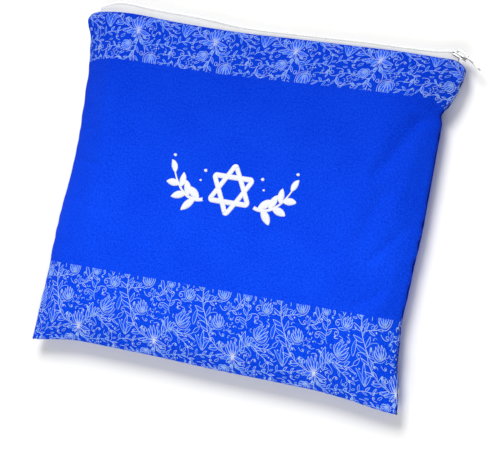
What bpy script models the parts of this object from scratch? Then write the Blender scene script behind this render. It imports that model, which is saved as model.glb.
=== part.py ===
"""Tallit bag: a flat zip-top pouch, softly filled out, lying on its back panel.

The frame is in metres, with X along the zip, Y from the bottom edge to the zip, Z up,
and the origin on the flat underside at the middle of the bag.
"""

import math

import bmesh
import bpy
from mathutils import Matrix, Vector

MM = 0.001

# Driving dimensions
CLOTH = 1.4 * MM
TAPE_THICKNESS = 1.0 * MM
SEAM_GAP = 0.3 * MM
SEAM_HEIGHT = 15.0 * MM
FRONT_BULGE = 19.5 * MM
BACK_BULGE = SEAM_HEIGHT - CLOTH - SEAM_GAP / 2

# Widths over which each panel rounds away to its edges
FRONT_ROUNDING = {"left": 58 * MM, "right": 58 * MM, "bottom": 52 * MM, "top": 66 * MM}
BACK_ROUNDING = {"left": 46 * MM, "right": 46 * MM, "bottom": 42 * MM, "top": 48 * MM}

# Corners of the outline
BOTTOM_LEFT = Vector((-174.5, -148.2)) * MM
BOTTOM_RIGHT = Vector((174.6, -148.6)) * MM
TOP_LEFT = Vector((-174.6, 148.5)) * MM
TOP_RIGHT = Vector((176.8, 147.0)) * MM

# Side edges, in millimetres: how far each is drawn in from its straight line
SIDE_COLUMNS = ("height", "left_in", "right_in")
SIDE_ROWS = (
    (-148, 0.0, 0.0),
    (-138, 1.1, 0.9),
    (-126, 2.1, 2.6),
    (-110, 3.0, 7.2),
    (-90, 4.6, 9.0),
    (-72, 4.7, 11.0),
    (-50, 5.1, 9.9),
    (-25, 6.6, 9.3),
    (0, 9.1, 8.0),
    (35, 10.3, 8.0),
    (75, 8.7, 8.3),
    (94, 8.0, 8.6),
    (102, 7.1, 10.2),
    (111, 5.7, 4.4),
    (126, 2.9, -1.2),
    (140, -3.2, -3.8),
    (147, 0.0, 0.0),
)

# Bottom and top edges, in millimetres: how far each stands above its straight line
END_COLUMNS = ("across", "bottom_up", "top_up")
END_ROWS = (
    (-174, 0.0, 0.0),
    (-168, -0.1, 2.7),
    (-151, 3.0, 4.8),
    (-131, 5.8, 5.4),
    (-92, 6.2, 3.2),
    (-53, 6.3, 1.8),
    (-15, 5.6, 1.2),
    (25, 5.4, 2.1),
    (99, 5.4, 3.4),
    (117, 4.3, 3.6),
    (135, 2.8, 3.5),
    (153, 0.6, 3.4),
    (168, -0.7, 3.2),
    (175, 0.0, 0.0),
)

# Zip, in millimetres: how far its ridge stands past the panels' top edges, and how far
# each of those edges lifts from the seam
ZIP_COLUMNS = ("across", "rise", "opening")
ZIP_ROWS = (
    (-171, 3.0, 0.0),
    (-163, 4.6, 1.2),
    (-149, 8.3, 2.0),
    (-119, 7.2, 3.5),
    (-69, 7.6, 3.8),
    (-26, 5.0, 6.2),
    (24, 4.2, 7.0),
    (80, 4.4, 6.6),
    (124, 4.0, 7.0),
    (149, 4.8, 5.0),
    (163, 6.2, 2.6),
    (171, 6.2, 0.0),
)
ZIP_START = -163 * MM
ZIP_END = 163.3 * MM
COIL_RADIUS = 1.5 * MM
COIL_TO_SLIDER = 0.35 * MM

# Largest folds of the front, in millimetres: a soft ridge or trough from start to end
FOLD_COLUMNS = ("start_x", "start_y", "end_x", "end_y", "half_width", "height")
FRONT_FOLDS = (
    (-130, 105, -114, -72, 13, 2.4),
    (-101, 105, -72, -37, 19, -1.8),
    (153, 92, 112, -66, 13, 2.6),
    (146, 84, 158, 36, 9, -1.6),
    (172, 105, 144, 94, 8, -2.4),
)

# Slider and pull tab
SLIDER_CENTRE = Vector((171.4 * MM, 152.1 * MM, SEAM_HEIGHT))
SLIDER_TURN = math.radians(-22)
SLIDER_SIZE = Vector((13.0, 2.8, 8.0)) * MM
BRIDGE_LENGTH = 10.9 * MM
BRIDGE_HEIGHT = 3.3 * MM
BRIDGE_THICKNESS = 1.0 * MM
BRIDGE_WIDTH = 1.6 * MM
PIVOT_BEHIND_FRONT = 2.1 * MM
PIVOT_ABOVE_BODY = 1.25 * MM
PULL_TURN = math.radians(-35)
PULL_LENGTH = 17.5 * MM
PULL_WIDTH = 5.6 * MM
PULL_EYE_LENGTH = 4.2 * MM
PULL_EYE_WIDTH = 3.2 * MM
PULL_BAR = 1.2 * MM
PULL_THICKNESS = 1.0 * MM

PANEL_COLUMNS = 36
PANEL_ROWS = 30
TAPE_COLUMNS = 46


def clear_scene():
    for thing in list(bpy.data.objects):
        bpy.data.objects.remove(thing, do_unlink=True)


def material(name, colour, roughness, metallic=0.0):
    made = bpy.data.materials.new(name)
    made.use_nodes = True
    shader = made.node_tree.nodes["Principled BSDF"]
    shader.inputs["Base Color"].default_value = (*colour, 1.0)
    shader.inputs["Roughness"].default_value = roughness
    shader.inputs["Metallic"].default_value = metallic
    made.diffuse_color = (*colour, 1.0)
    return made


def new_object(name, bm, finish):
    mesh = bpy.data.meshes.new(name)
    bm.to_mesh(mesh)
    bm.free()
    mesh.materials.append(finish)
    thing = bpy.data.objects.new(name, mesh)
    bpy.context.collection.objects.link(thing)
    return thing


def shade_round(thing, sharp_angle=40):
    thing.data.shade_smooth()
    thing.data.set_sharp_from_angle(angle=math.radians(sharp_angle))


def smooth_column(rows, column, at):
    """A column of a table in millimetres, as a smooth curve, at a place in metres."""
    places = [row[0] * MM for row in rows]
    values = [row[column] * MM for row in rows]
    at = min(max(at, places[0]), places[-1])
    after = next(i for i in range(1, len(places)) if at <= places[i])
    before = after - 1
    slopes = []
    for i in (before, after):
        low, high = max(i - 1, 0), min(i + 1, len(places) - 1)
        slopes.append((values[high] - values[low]) / (places[high] - places[low]))
    span = places[after] - places[before]
    t = (at - places[before]) / span
    from_start = (2 * t**3 - 3 * t**2 + 1) * values[before] + (t**3 - 2 * t**2 + t) * span * slopes[0]
    from_end = (3 * t**2 - 2 * t**3) * values[after] + (t**3 - t**2) * span * slopes[1]
    return from_start + from_end


def side_edge(side, v):
    """A point of the left or right edge, from the bottom corner at 0 to the top one at 1."""
    start, end = (BOTTOM_LEFT, TOP_LEFT) if side == "left" else (BOTTOM_RIGHT, TOP_RIGHT)
    point = start.lerp(end, v)
    drawn_in = smooth_column(SIDE_ROWS, SIDE_COLUMNS.index(side + "_in"), point.y)
    point.x += drawn_in if side == "left" else -drawn_in
    return point


def end_edge(end_name, u):
    """A point of the bottom or top edge, from the left corner at 0 to the right one at 1."""
    start, end = (BOTTOM_LEFT, BOTTOM_RIGHT) if end_name == "bottom" else (TOP_LEFT, TOP_RIGHT)
    point = start.lerp(end, u)
    point.y += smooth_column(END_ROWS, END_COLUMNS.index(end_name + "_up"), point.x)
    return point


def outline_point(u, v):
    """A point inside the outline, blended from its four edges."""
    across = side_edge("left", v).lerp(side_edge("right", v), u)
    along = end_edge("bottom", u).lerp(end_edge("top", u), v)
    corners = BOTTOM_LEFT.lerp(BOTTOM_RIGHT, u).lerp(TOP_LEFT.lerp(TOP_RIGHT, u), v)
    return across + along - corners


def zip_column(name, x):
    return smooth_column(ZIP_ROWS, ZIP_COLUMNS.index(name), x)


def dome(distance, width):
    """How far a filled panel has risen, from 0 at its edge to 1 past the given width."""
    return 1 - (1 - min(distance / width, 1)) ** 3


def segment_distance(point, start, end):
    along = end - start
    t = min(max((point - start).dot(along) / along.length_squared, 0), 1)
    return (point - start - along * t).length


def fold_height(point, folds):
    height = 0.0
    for row in folds:
        fold = dict(zip(FOLD_COLUMNS, row))
        start = Vector((fold["start_x"], fold["start_y"])) * MM
        end = Vector((fold["end_x"], fold["end_y"])) * MM
        away = segment_distance(point, start, end) / (fold["half_width"] * MM)
        height += fold["height"] * MM * math.exp(-away * away)
    return height


def panel_rise(u, v, bulge, rounding, folds):
    """How far a panel's inside stands off the seam."""
    point = outline_point(u, v)
    width = BOTTOM_RIGHT.x - BOTTOM_LEFT.x
    height = TOP_LEFT.y - BOTTOM_LEFT.y
    sides = dome(u * width, rounding["left"]) * dome((1 - u) * width, rounding["right"])
    filled = sides * dome(v * height, rounding["bottom"])
    top = dome((1 - v) * height, rounding["top"])
    lifted = zip_column("opening", point.x) * (1 - top)
    return lifted + (filled * bulge + fold_height(point, folds) * filled) * top


def even_to_dense(t):
    """Spreads even steps so that they lie closer together near both ends."""
    return 0.45 * t + 0.55 * (0.5 - 0.5 * math.cos(math.pi * t))


def make_panel(name, side, bulge, rounding, folds, finish):
    """One cloth wall, above the seam where side is 1 and below it where side is -1."""
    bm = bmesh.new()
    bmesh.ops.create_grid(bm, x_segments=PANEL_COLUMNS, y_segments=PANEL_ROWS, size=0.5)
    for vert in bm.verts:
        u = even_to_dense(vert.co.x + 0.5)
        v = even_to_dense(vert.co.y + 0.5)
        rise = panel_rise(u, v, bulge, rounding, folds)
        place = outline_point(u, v)
        level = SEAM_HEIGHT + side * (SEAM_GAP / 2 + CLOTH + rise)
        vert.co = (place.x, place.y, max(level, 0.0))
    if side < 0:
        bmesh.ops.reverse_faces(bm, faces=bm.faces[:])
    bm.normal_update()
    inwards = {}
    for vert in bm.verts:
        inwards[vert] = Vector((0, 0, -side)) if vert.is_boundary else -vert.normal

    copied = bmesh.ops.duplicate(bm, geom=bm.verts[:] + bm.edges[:] + bm.faces[:])
    inner_faces = [item for item in copied["geom"] if isinstance(item, bmesh.types.BMFace)]
    for outer, inner in copied["vert_map"].items():
        if outer in inwards:
            inner.co = outer.co + inwards[outer] * CLOTH
    bmesh.ops.reverse_faces(bm, faces=inner_faces)
    rims = [edge for edge in bm.edges if edge.is_boundary]
    bmesh.ops.bridge_loops(bm, edges=rims)
    bmesh.ops.recalc_face_normals(bm, faces=bm.faces[:])
    panel = new_object(name, bm, finish)
    shade_round(panel, sharp_angle=50)
    return panel


def top_edge_at(x):
    """The top edge's height up the bag at this place across it."""
    u = (x - TOP_LEFT.x) / (TOP_RIGHT.x - TOP_LEFT.x)
    return end_edge("top", u).y


def ridge_at(x):
    return top_edge_at(x) + zip_column("rise", x)


def make_tape(name, side, finish):
    """A zip tape, from its panel's top edge to the coil."""
    bm = bmesh.new()
    bmesh.ops.create_grid(bm, x_segments=TAPE_COLUMNS, y_segments=1, size=0.5)
    for vert in bm.verts:
        x = ZIP_START + (vert.co.x + 0.5) * (ZIP_END - ZIP_START)
        at_coil = vert.co.y > 0
        panel_end = (top_edge_at(x) + SEAM_GAP, SEAM_GAP / 2 + zip_column("opening", x) + CLOTH / 2)
        coil_end = (ridge_at(x) - 2 * COIL_RADIUS - SEAM_GAP, 0.2 * MM + TAPE_THICKNESS / 2)
        run, drop = coil_end[0] - panel_end[0], panel_end[1] - coil_end[1]
        steep = drop / math.hypot(run, drop)
        if at_coil:
            y, z = coil_end
            y -= steep * TAPE_THICKNESS / 2
        else:
            y, z = panel_end
            y += steep * TAPE_THICKNESS / 2
        vert.co = (x, y, SEAM_HEIGHT + side * z)
    tape = new_object(name, bm, finish)
    wall = tape.modifiers.new("Wall", "SOLIDIFY")
    wall.thickness = TAPE_THICKNESS
    wall.offset = 0
    wall.use_even_offset = True
    return tape


def in_slider(along, up):
    """A place given along the slider and up from its middle, in the bag's frame."""
    return SLIDER_CENTRE + Matrix.Rotation(SLIDER_TURN, 3, "Z") @ Vector((along, up, 0))


def make_coil(finish):
    """The closed chain of teeth, as one round cord along the ridge."""
    curve = bpy.data.curves.new("zip_coil", "CURVE")
    curve.dimensions = "3D"
    curve.bevel_depth = COIL_RADIUS
    curve.bevel_resolution = 2
    curve.use_fill_caps = True
    path = []
    for i in range(TAPE_COLUMNS + 1):
        x = ZIP_START + (ZIP_END - ZIP_START) * i / TAPE_COLUMNS
        path.append(Vector((x, ridge_at(x) - COIL_RADIUS, SEAM_HEIGHT)))
    path.append(in_slider(-SLIDER_SIZE.x / 2 - COIL_TO_SLIDER, 0))
    spline = curve.splines.new("POLY")
    spline.points.add(len(path) - 1)
    for point, place in zip(spline.points, path):
        point.co = (*place, 1)
    curve.materials.append(finish)
    coil = bpy.data.objects.new("zip_coil", curve)
    bpy.context.collection.objects.link(coil)
    return coil


def box(bm, low, high):
    size = Vector(high) - Vector(low)
    middle = (Vector(low) + Vector(high)) / 2
    made = bmesh.ops.create_cube(bm, size=1, matrix=Matrix.Translation(middle) @ Matrix.Diagonal((*size, 1)))
    return made["verts"]


def make_slider(finish):
    """The slider's body, with the bridge that its pull tab hangs on."""
    half = SLIDER_SIZE / 2
    bm = bmesh.new()
    box(bm, -half, half)
    upright = [e for e in bm.edges if abs(e.verts[0].co.y - e.verts[1].co.y) > SLIDER_SIZE.y / 2]
    bmesh.ops.bevel(bm, geom=upright, offset=2.2 * MM, segments=3, affect="EDGES", profile=0.5)
    slider = new_object("zip_slider", bm, finish)

    front = half.x
    back = front - BRIDGE_LENGTH
    side = BRIDGE_WIDTH / 2
    foot = half.y - 0.5 * MM
    top = half.y + BRIDGE_HEIGHT
    corner = 0.9 * MM
    outline = (
        (back, foot),
        (back, top - corner),
        (back + corner, top),
        (front - corner, top),
        (front, top - corner),
        (front, foot),
        (front - BRIDGE_THICKNESS, foot),
        (front - BRIDGE_THICKNESS, top - BRIDGE_THICKNESS),
        (back + BRIDGE_THICKNESS, top - BRIDGE_THICKNESS),
        (back + BRIDGE_THICKNESS, foot),
    )
    bm = bmesh.new()
    face = bm.faces.new([bm.verts.new((x, y, -side)) for x, y in outline])
    raised = bmesh.ops.extrude_face_region(bm, geom=[face])
    moved = [item for item in raised["geom"] if isinstance(item, bmesh.types.BMVert)]
    bmesh.ops.translate(bm, verts=moved, vec=(0, 0, BRIDGE_WIDTH))
    bmesh.ops.recalc_face_normals(bm, faces=bm.faces[:])
    bridge = new_object("bridge_shape", bm, finish)
    bridge.hide_render = True
    bridge.display_type = "WIRE"

    join = slider.modifiers.new("Bridge", "BOOLEAN")
    join.operation = "UNION"
    join.object = bridge
    for thing in (slider, bridge):
        thing.location = SLIDER_CENTRE
        thing.rotation_euler = (0, 0, SLIDER_TURN)
    return slider


def make_pull_tab(finish):
    """The pull tab: a flat metal tongue with an eye whose bar lies under the bridge."""
    bar = PULL_BAR / 2
    along = (-bar, bar, bar + PULL_EYE_LENGTH, PULL_LENGTH * 0.55, PULL_LENGTH - 2 * MM, PULL_LENGTH)
    half_widths = (1.0, 1.0, 1.0, 0.72, 0.86, 0.5)
    bm = bmesh.new()
    rows = []
    for x, share in zip(along, half_widths):
        outer = PULL_WIDTH / 2 * share
        inner = PULL_EYE_WIDTH / 2 * min(share, 1)
        rows.append([bm.verts.new((x, 0, z)) for z in (-outer, -inner, inner, outer)])
    eye_row = 1
    for i, (row, following) in enumerate(zip(rows, rows[1:])):
        for j in range(3):
            if (i, j) != (eye_row, 1):
                bm.faces.new((row[j], row[j + 1], following[j + 1], following[j]))
    bmesh.ops.recalc_face_normals(bm, faces=bm.faces[:])
    tab = new_object("pull_tab", bm, finish)
    wall = tab.modifiers.new("Wall", "SOLIDIFY")
    wall.thickness = PULL_THICKNESS
    wall.offset = 0
    half = SLIDER_SIZE / 2
    tab.location = in_slider(half.x - PIVOT_BEHIND_FRONT, half.y + PIVOT_ABOVE_BODY)
    tab.rotation_euler = (0, 0, PULL_TURN)
    return tab


def main():
    clear_scene()
    blue_cloth = material("blue_cloth", (0.004, 0.06, 0.75), 0.72)
    white_tape = material("white_tape", (0.84, 0.85, 0.86), 0.8)
    white_coil = material("white_coil", (0.70, 0.72, 0.72), 0.45)
    bright_metal = material("bright_metal", (0.72, 0.72, 0.70), 0.3, metallic=1.0)
    make_panel("front_panel", 1, FRONT_BULGE, FRONT_ROUNDING, FRONT_FOLDS, blue_cloth)
    make_panel("back_panel", -1, BACK_BULGE, BACK_ROUNDING, (), blue_cloth)
    make_tape("zip_tape_front", 1, white_tape)
    make_tape("zip_tape_back", -1, white_tape)
    make_coil(white_coil)
    make_slider(bright_metal)
    make_pull_tab(bright_metal)


main()
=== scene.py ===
import math
import bmesh
import bpy
import numpy as np
from mathutils import Matrix, Vector


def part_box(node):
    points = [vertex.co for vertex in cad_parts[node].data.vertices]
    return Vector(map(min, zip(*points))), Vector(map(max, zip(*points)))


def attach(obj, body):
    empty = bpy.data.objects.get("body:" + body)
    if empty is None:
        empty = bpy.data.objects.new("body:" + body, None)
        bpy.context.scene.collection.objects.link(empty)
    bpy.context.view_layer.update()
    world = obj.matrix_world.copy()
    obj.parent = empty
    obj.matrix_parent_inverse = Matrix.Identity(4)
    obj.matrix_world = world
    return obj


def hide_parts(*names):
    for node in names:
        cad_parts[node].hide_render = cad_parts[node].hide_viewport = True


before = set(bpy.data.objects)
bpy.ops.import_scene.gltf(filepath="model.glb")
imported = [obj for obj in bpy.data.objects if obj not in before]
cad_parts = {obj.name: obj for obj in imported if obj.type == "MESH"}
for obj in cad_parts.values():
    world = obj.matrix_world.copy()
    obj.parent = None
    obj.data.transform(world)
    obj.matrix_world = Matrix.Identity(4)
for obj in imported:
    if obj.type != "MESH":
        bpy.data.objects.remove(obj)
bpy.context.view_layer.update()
mm = 0.001
print("frame loaded:", ", ".join(sorted(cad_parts)))

# the seam lies halfway between the two panels' nearest faces
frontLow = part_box("front_panel")[0][2]
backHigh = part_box("back_panel")[1][2]
seamHeight = (frontLow + backHigh) / 2

# outline of the sewn bag, in mm: the corners, then how far each edge strays from its straight line
outline = {
    "bottomLeft": (-174.5, -148.2),
    "bottomRight": (174.6, -148.6),
    "topLeft": (-174.6, 148.5),
    "topRight": (176.8, 147.0),
    "sides": (  # height, left edge drawn in, right edge drawn in
        (-148, 0.0, 0.0), (-138, 1.1, 0.9), (-126, 2.1, 2.6), (-110, 3.0, 7.2), (-90, 4.6, 9.0),
        (-72, 4.7, 11.0), (-50, 5.1, 9.9), (-25, 6.6, 9.3), (0, 9.1, 8.0), (35, 10.3, 8.0),
        (75, 8.7, 8.3), (94, 8.0, 8.6), (102, 7.1, 10.2), (111, 5.7, 4.4), (126, 2.9, -1.2),
        (140, -3.2, -3.8), (147, 0.0, 0.0),
    ),
    "ends": (  # across, bottom edge up, top edge up
        (-174, 0.0, 0.0), (-168, -0.1, 2.7), (-151, 3.0, 4.8), (-131, 5.8, 5.4), (-92, 6.2, 3.2),
        (-53, 6.3, 1.8), (-15, 5.6, 1.2), (25, 5.4, 2.1), (99, 5.4, 3.4), (117, 4.3, 3.6),
        (135, 2.8, 3.5), (153, 0.6, 3.4), (168, -0.7, 3.2), (175, 0.0, 0.0),
    ),
}

# the zip, in mm: across, how far the ridge stands past the cloth's edge, how far that edge is lifted
zipLine = (
    (-171, 3.0, 0.0), (-163, 4.6, 1.2), (-149, 8.3, 2.0), (-119, 7.2, 3.5), (-69, 7.6, 3.8),
    (-26, 5.0, 6.2), (24, 4.2, 7.0), (80, 4.4, 6.6), (124, 4.0, 7.0), (149, 4.8, 5.0), (163, 6.2, 2.6),
    (171, 6.2, 0.0),
)


def smoothColumn(rows, column, at):
    # one column of a table in mm as a smooth curve in metres
    table = np.array(rows, float) * mm
    places, values = table[:, 0], table[:, column]
    low = np.maximum(np.arange(len(places)) - 1, 0)
    high = np.minimum(np.arange(len(places)) + 1, len(places) - 1)
    slopes = (values[high] - values[low]) / (places[high] - places[low])
    at = np.clip(at, places[0], places[-1])
    after = np.clip(np.searchsorted(places, at), 1, len(places) - 1)
    before = after - 1
    span = places[after] - places[before]
    t = (at - places[before]) / span
    leaving = (2 * t**3 - 3 * t**2 + 1) * values[before] + (t**3 - 2 * t**2 + t) * span * slopes[before]
    reaching = (3 * t**2 - 2 * t**3) * values[after] + (t**3 - t**2) * span * slopes[after]
    return leaving + reaching


def cornerPoint(name):
    return np.array(outline[name]) * mm


def straightEdge(start, end, share):
    (x, y), (endX, endY) = cornerPoint(start), cornerPoint(end)
    return x + (endX - x) * share, y + (endY - y) * share


def sideEdge(side, v):
    x, y = straightEdge("bottom" + side, "top" + side, v)
    column, inward = (1, 1) if side == "Left" else (2, -1)
    return x + inward * smoothColumn(outline["sides"], column, y), y


def endEdge(end, u):
    x, y = straightEdge(end + "Left", end + "Right", u)
    return x, y + smoothColumn(outline["ends"], 1 if end == "bottom" else 2, x)


def outlinePoint(u, v):
    # a point inside the outline, blended from its four edges
    left, right = sideEdge("Left", v), sideEdge("Right", v)
    bottom, top = endEdge("bottom", u), endEdge("top", u)
    found = []
    for axis in (0, 1):
        low = cornerPoint("bottomLeft")[axis] * (1 - u) + cornerPoint("bottomRight")[axis] * u
        high = cornerPoint("topLeft")[axis] * (1 - u) + cornerPoint("topRight")[axis] * u
        corners = low * (1 - v) + high * v
        across = left[axis] * (1 - u) + right[axis] * u
        along = bottom[axis] * (1 - v) + top[axis] * v
        found.append(across + along - corners)
    return found


def zipColumn(column, x):
    return smoothColumn(zipLine, {"rise": 1, "opening": 2}[column], x)


def topEdgeAt(x):
    start, stop = cornerPoint("topLeft"), cornerPoint("topRight")
    return endEdge("top", (x - start[0]) / (stop[0] - start[0]))[1]


def dome(distance, width):
    return 1 - (1 - np.minimum(distance / width, 1)) ** 3


frontCloth = {
    "side": 1,
    "bulge": 18.6 * mm,
    "rounding": (58 * mm, 58 * mm, 52 * mm, 66 * mm),  # left, right, bottom, top
    "creases": (  # start x, y, end x, y, half width, height, in mm
        (-134, 105, -122, -72, 12, 3.0), (-104, 105, -78, -37, 18, -3.0), (128, 92, 104, -66, 12, 2.4),
        (150, 90, 126, 44, 7, -3.4), (156, 70, 146, 18, 6, 1.8), (172, 105, 150, 92, 5.5, -3.4),
        (160, 8, 134, -26, 4.5, -2.2), (134, 30, 122, -10, 7, -1.6), (156, -28, 150, -64, 5.0, 1.6),
        (150, -48, 128, -66, 4.5, -1.6), (-160, 17, -130, 14, 3.6, -2.0),
        (-163, 42, -142, 46, 3.4, -1.4), (-162, 66, -146, 63, 3.0, -1.2),
        (-163, -22, -142, -17, 3.4, -1.5), (-166, -55, -144, -60, 3.6, -1.3),
        (-168, -142, -138, -112, 5.0, -1.4), (168, -142, 142, -118, 5.5, -1.3),
        (-170, 143, -146, 122, 5.0, -1.2), (170, 143, 150, 126, 4.5, -1.0), (60, 60, 95, -20, 24, 0.7),
        (-30, -40, 20, -75, 20, 0.6), (-60, 70, 10, 90, 22, -0.6), (30, 132, 90, 128, 9, 0.7),
        (-80, 134, -30, 130, 8, -0.6), (-60, -128, 10, -131, 7, 0.8), (60, -130, 110, -126, 7, -0.7),
    ),
    "puckers": {  # pitch, height, sideways shift, in mm
        "left": (17.0, 0.90, 1.10),
        "right": (21.0, 0.80, 0.80),
        "bottom": (10.5, 0.45, 0.20),
        "top": (16.0, 0.40, 0.0),
    },
    "fold": 2.3 * mm,
    "clear": 0.1 * mm,
}
backCloth = {
    "side": -1,
    "bulge": seamHeight - 2.55 * mm,
    "rounding": (46 * mm, 46 * mm, 42 * mm, 48 * mm),
    "creases": (
        (-166, 40, -134, 36, 5, -1.4), (-168, -30, -140, -24, 5, -1.2), (166, -20, 138, -26, 5, -1.3),
        (168, 70, 142, 60, 6, -1.2), (-60, -140, -56, -118, 5, -1.0), (70, -140, 64, -116, 6, -1.1),
        (-168, -142, -138, -112, 5, -1.4), (168, -142, 142, -118, 5, -1.3),
        (-170, 143, -146, 122, 5, -1.2), (170, 143, 150, 126, 4.5, -1.0),
    ),
    "puckers": {
        "left": (9.0, 0.45, 0.50),
        "right": (11.0, 0.40, 0.30),
        "bottom": (9.5, 0.35, 0.16),
        "top": (15.0, 0.30, 0.0),
    },
    "fold": 2.3 * mm,
    "clear": 0.1 * mm,
}
clothGrid = {"columns": 204, "rows": 170, "thickness": 1.1 * mm}
# the side seams' length, how near their ends the puckers fade, and how far from a seam they reach
puckerFade = {"seam": 0.3, "ends": 18 * mm, "rise": 9 * mm, "flat": 2.5 * mm, "shift": 5 * mm}


def evenCloth(length, lowRounding, highRounding, bulge):
    # spreads the cloth evenly over its curve: cloth share to place share, and the cut's length
    place = np.linspace(0, 1, 801)
    rise = bulge * dome(place * length, lowRounding) * dome((1 - place) * length, highRounding)
    steps = np.hypot(np.diff(place * length), np.diff(rise))
    arc = np.concatenate([[0], np.cumsum(steps)])
    return arc / arc[-1], place, arc[-1]


def creaseHeight(rows, x, y):
    height = np.zeros_like(x)
    for startX, startY, endX, endY, halfWidth, tall in rows:
        ax, ay = startX * mm, startY * mm
        bx, by = (endX - startX) * mm, (endY - startY) * mm
        t = np.clip(((x - ax) * bx + (y - ay) * by) / (bx * bx + by * by), 0, 1)
        away = np.hypot(x - ax - t * bx, y - ay - t * by) / (halfWidth * mm)
        height += tall * mm * np.exp(-away * away)
    return height


def puckerWave(along, pitch, phase):
    drift = 1.9 * np.sin(along / (31 * mm) + phase) + 1.1 * np.sin(along / (11.7 * mm) + 2 * phase)
    strength = 0.62 + 0.38 * np.sin(along / (23 * mm) + 3 * phase)
    return np.sin(2 * math.pi * along / (pitch * mm) + drift) * strength


class ClothSurface:
    # a panel as an even grid of points over its flat cut, for the panel and for all that lies on it
    def __init__(self, cloth):
        self.cloth = cloth
        width = cornerPoint("bottomRight")[0] - cornerPoint("bottomLeft")[0]
        height = cornerPoint("topLeft")[1] - cornerPoint("bottomLeft")[1]
        left, right, bottom, top = cloth["rounding"]
        shareX, placeX, self.cutWidth = evenCloth(width, left, right, cloth["bulge"])
        shareY, placeY, self.cutHeight = evenCloth(height, bottom, top, cloth["bulge"])
        u, v = np.meshgrid(*(np.linspace(0, 1, clothGrid[count] + 1) for count in ("columns", "rows")))
        placeU, placeV = np.interp(u, shareX, placeX), np.interp(v, shareY, placeY)
        self.points = self.shape(u, v, placeU, placeV, width, height)
        alongU = np.gradient(self.points, axis=1)
        alongV = np.gradient(self.points, axis=0)
        normals = np.cross(alongU, alongV) * cloth["side"]
        self.normals = normals / np.linalg.norm(normals, axis=2, keepdims=True)

    def shape(self, u, v, placeU, placeV, width, height):
        cloth = self.cloth
        left, right, bottom, top = cloth["rounding"]
        x, y = outlinePoint(placeU, placeV)
        sides = dome(placeU * width, left) * dome((1 - placeU) * width, right)
        filled = sides * dome(placeV * height, bottom)
        topDome = dome((1 - placeV) * height, top)
        rise = filled * (cloth["bulge"] + creaseHeight(cloth["creases"], x, y)) * topDome
        rise += zipColumn("opening", x) * (1 - topDome)

        # how far each point is from the four seams, along the cloth
        seams = {
            "left": (u * self.cutWidth, v * self.cutHeight, 1.0, 0.0, 0.4),
            "right": ((1 - u) * self.cutWidth, v * self.cutHeight, -1.0, 0.0, 1.7),
            "bottom": (v * self.cutHeight, u * self.cutWidth, 0.0, 1.0, 2.9),
            "top": ((1 - v) * self.cutHeight, u * self.cutWidth, 0.0, -1.0, 4.1),
        }
        rolled = np.zeros_like(u)
        for name, (away, along, inX, inY, phase) in seams.items():
            pitch, tall, shift = cloth["puckers"][name]
            fade, ends = puckerFade, 1
            if name in ("left", "right"):
                ends = np.clip(np.minimum(along, fade["seam"] - along) / fade["ends"], 0, 1)
            wave = puckerWave(along, pitch, phase + cloth["side"]) * ends
            rise += tall * mm * wave * np.exp(-away / fade["rise"]) * (1 - np.exp(-away / fade["flat"]))
            shifted = shift * mm * wave * np.exp(-away / fade["shift"])
            turn = np.clip(1 - away / (cloth["fold"] * math.pi / 2), 0, 1) * math.pi / 2
            inward = shifted + cloth["fold"] * (1 - np.cos(turn))
            x = x + inX * inward
            y = y + inY * inward
            rolled = np.maximum(rolled, turn)
        lift = cloth["clear"] + cloth["fold"] * (1 - np.sin(rolled)) + np.maximum(rise, 0)
        z = seamHeight + cloth["side"] * lift
        return np.stack([x, y, np.maximum(z, 0.15 * mm)], axis=2)

    def sample(self, grid, u, v):
        i = np.clip(u * clothGrid["columns"], 0, clothGrid["columns"] - 1e-6)
        j = np.clip(v * clothGrid["rows"], 0, clothGrid["rows"] - 1e-6)
        column, row = i.astype(int), j.astype(int)
        s, t = (i - column)[:, None], (j - row)[:, None]
        low = grid[row, column] * (1 - s) + grid[row, column + 1] * s
        high = grid[row + 1, column] * (1 - s) + grid[row + 1, column + 1] * s
        return low * (1 - t) + high * t

    def lay(self, flat):
        # flat points, centred on the cut with their height in z, onto the cloth
        u = 0.5 + flat[:, 0] / self.cutWidth
        v = 0.5 + flat[:, 1] / self.cutHeight
        normal = self.sample(self.normals, u, v)
        normal /= np.linalg.norm(normal, axis=1, keepdims=True)
        return self.sample(self.points, u, v) + normal * flat[:, 2:3], u, v


def getPoints(mesh):
    found = np.empty(len(mesh.vertices) * 3, np.float32)
    mesh.vertices.foreach_get("co", found)
    return found.reshape(-1, 3).astype(float)


def setPoints(mesh, points):
    mesh.vertices.foreach_set("co", np.asarray(points, np.float32).ravel())
    mesh.update()


def setMap(mesh, u, v):
    # one map over the flat cut, so that patterns follow the cloth, and one that fills the bake's square
    corners = np.empty(len(mesh.loops), np.int32)
    mesh.loops.foreach_get("vertex_index", corners)
    spread = [(share - share.min()) / (share.max() - share.min()) * 0.98 + 0.01 for share in (u, v)]
    for name, (across, along) in (("clothMap", (u, v)), ("OFBake", spread)):
        layer = mesh.uv_layers.new(name=name)
        places = np.stack([across[corners], along[corners]], axis=1).astype(np.float32)
        layer.uv.foreach_set("vector", places.ravel())


def showMesh(name, mesh, finish):
    mesh.materials.append(finish)
    piece = bpy.data.objects.new(name, mesh)
    bpy.context.scene.collection.objects.link(piece)
    return piece


def newPiece(name, bm, finish, smooth=True, sharpAngle=None):
    mesh = bpy.data.meshes.new(name)
    bm.to_mesh(mesh)
    bm.free()
    if smooth:
        mesh.shade_smooth()
    if sharpAngle is not None:
        mesh.set_sharp_from_angle(angle=math.radians(sharpAngle))
    return showMesh(name, mesh, finish)


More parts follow.
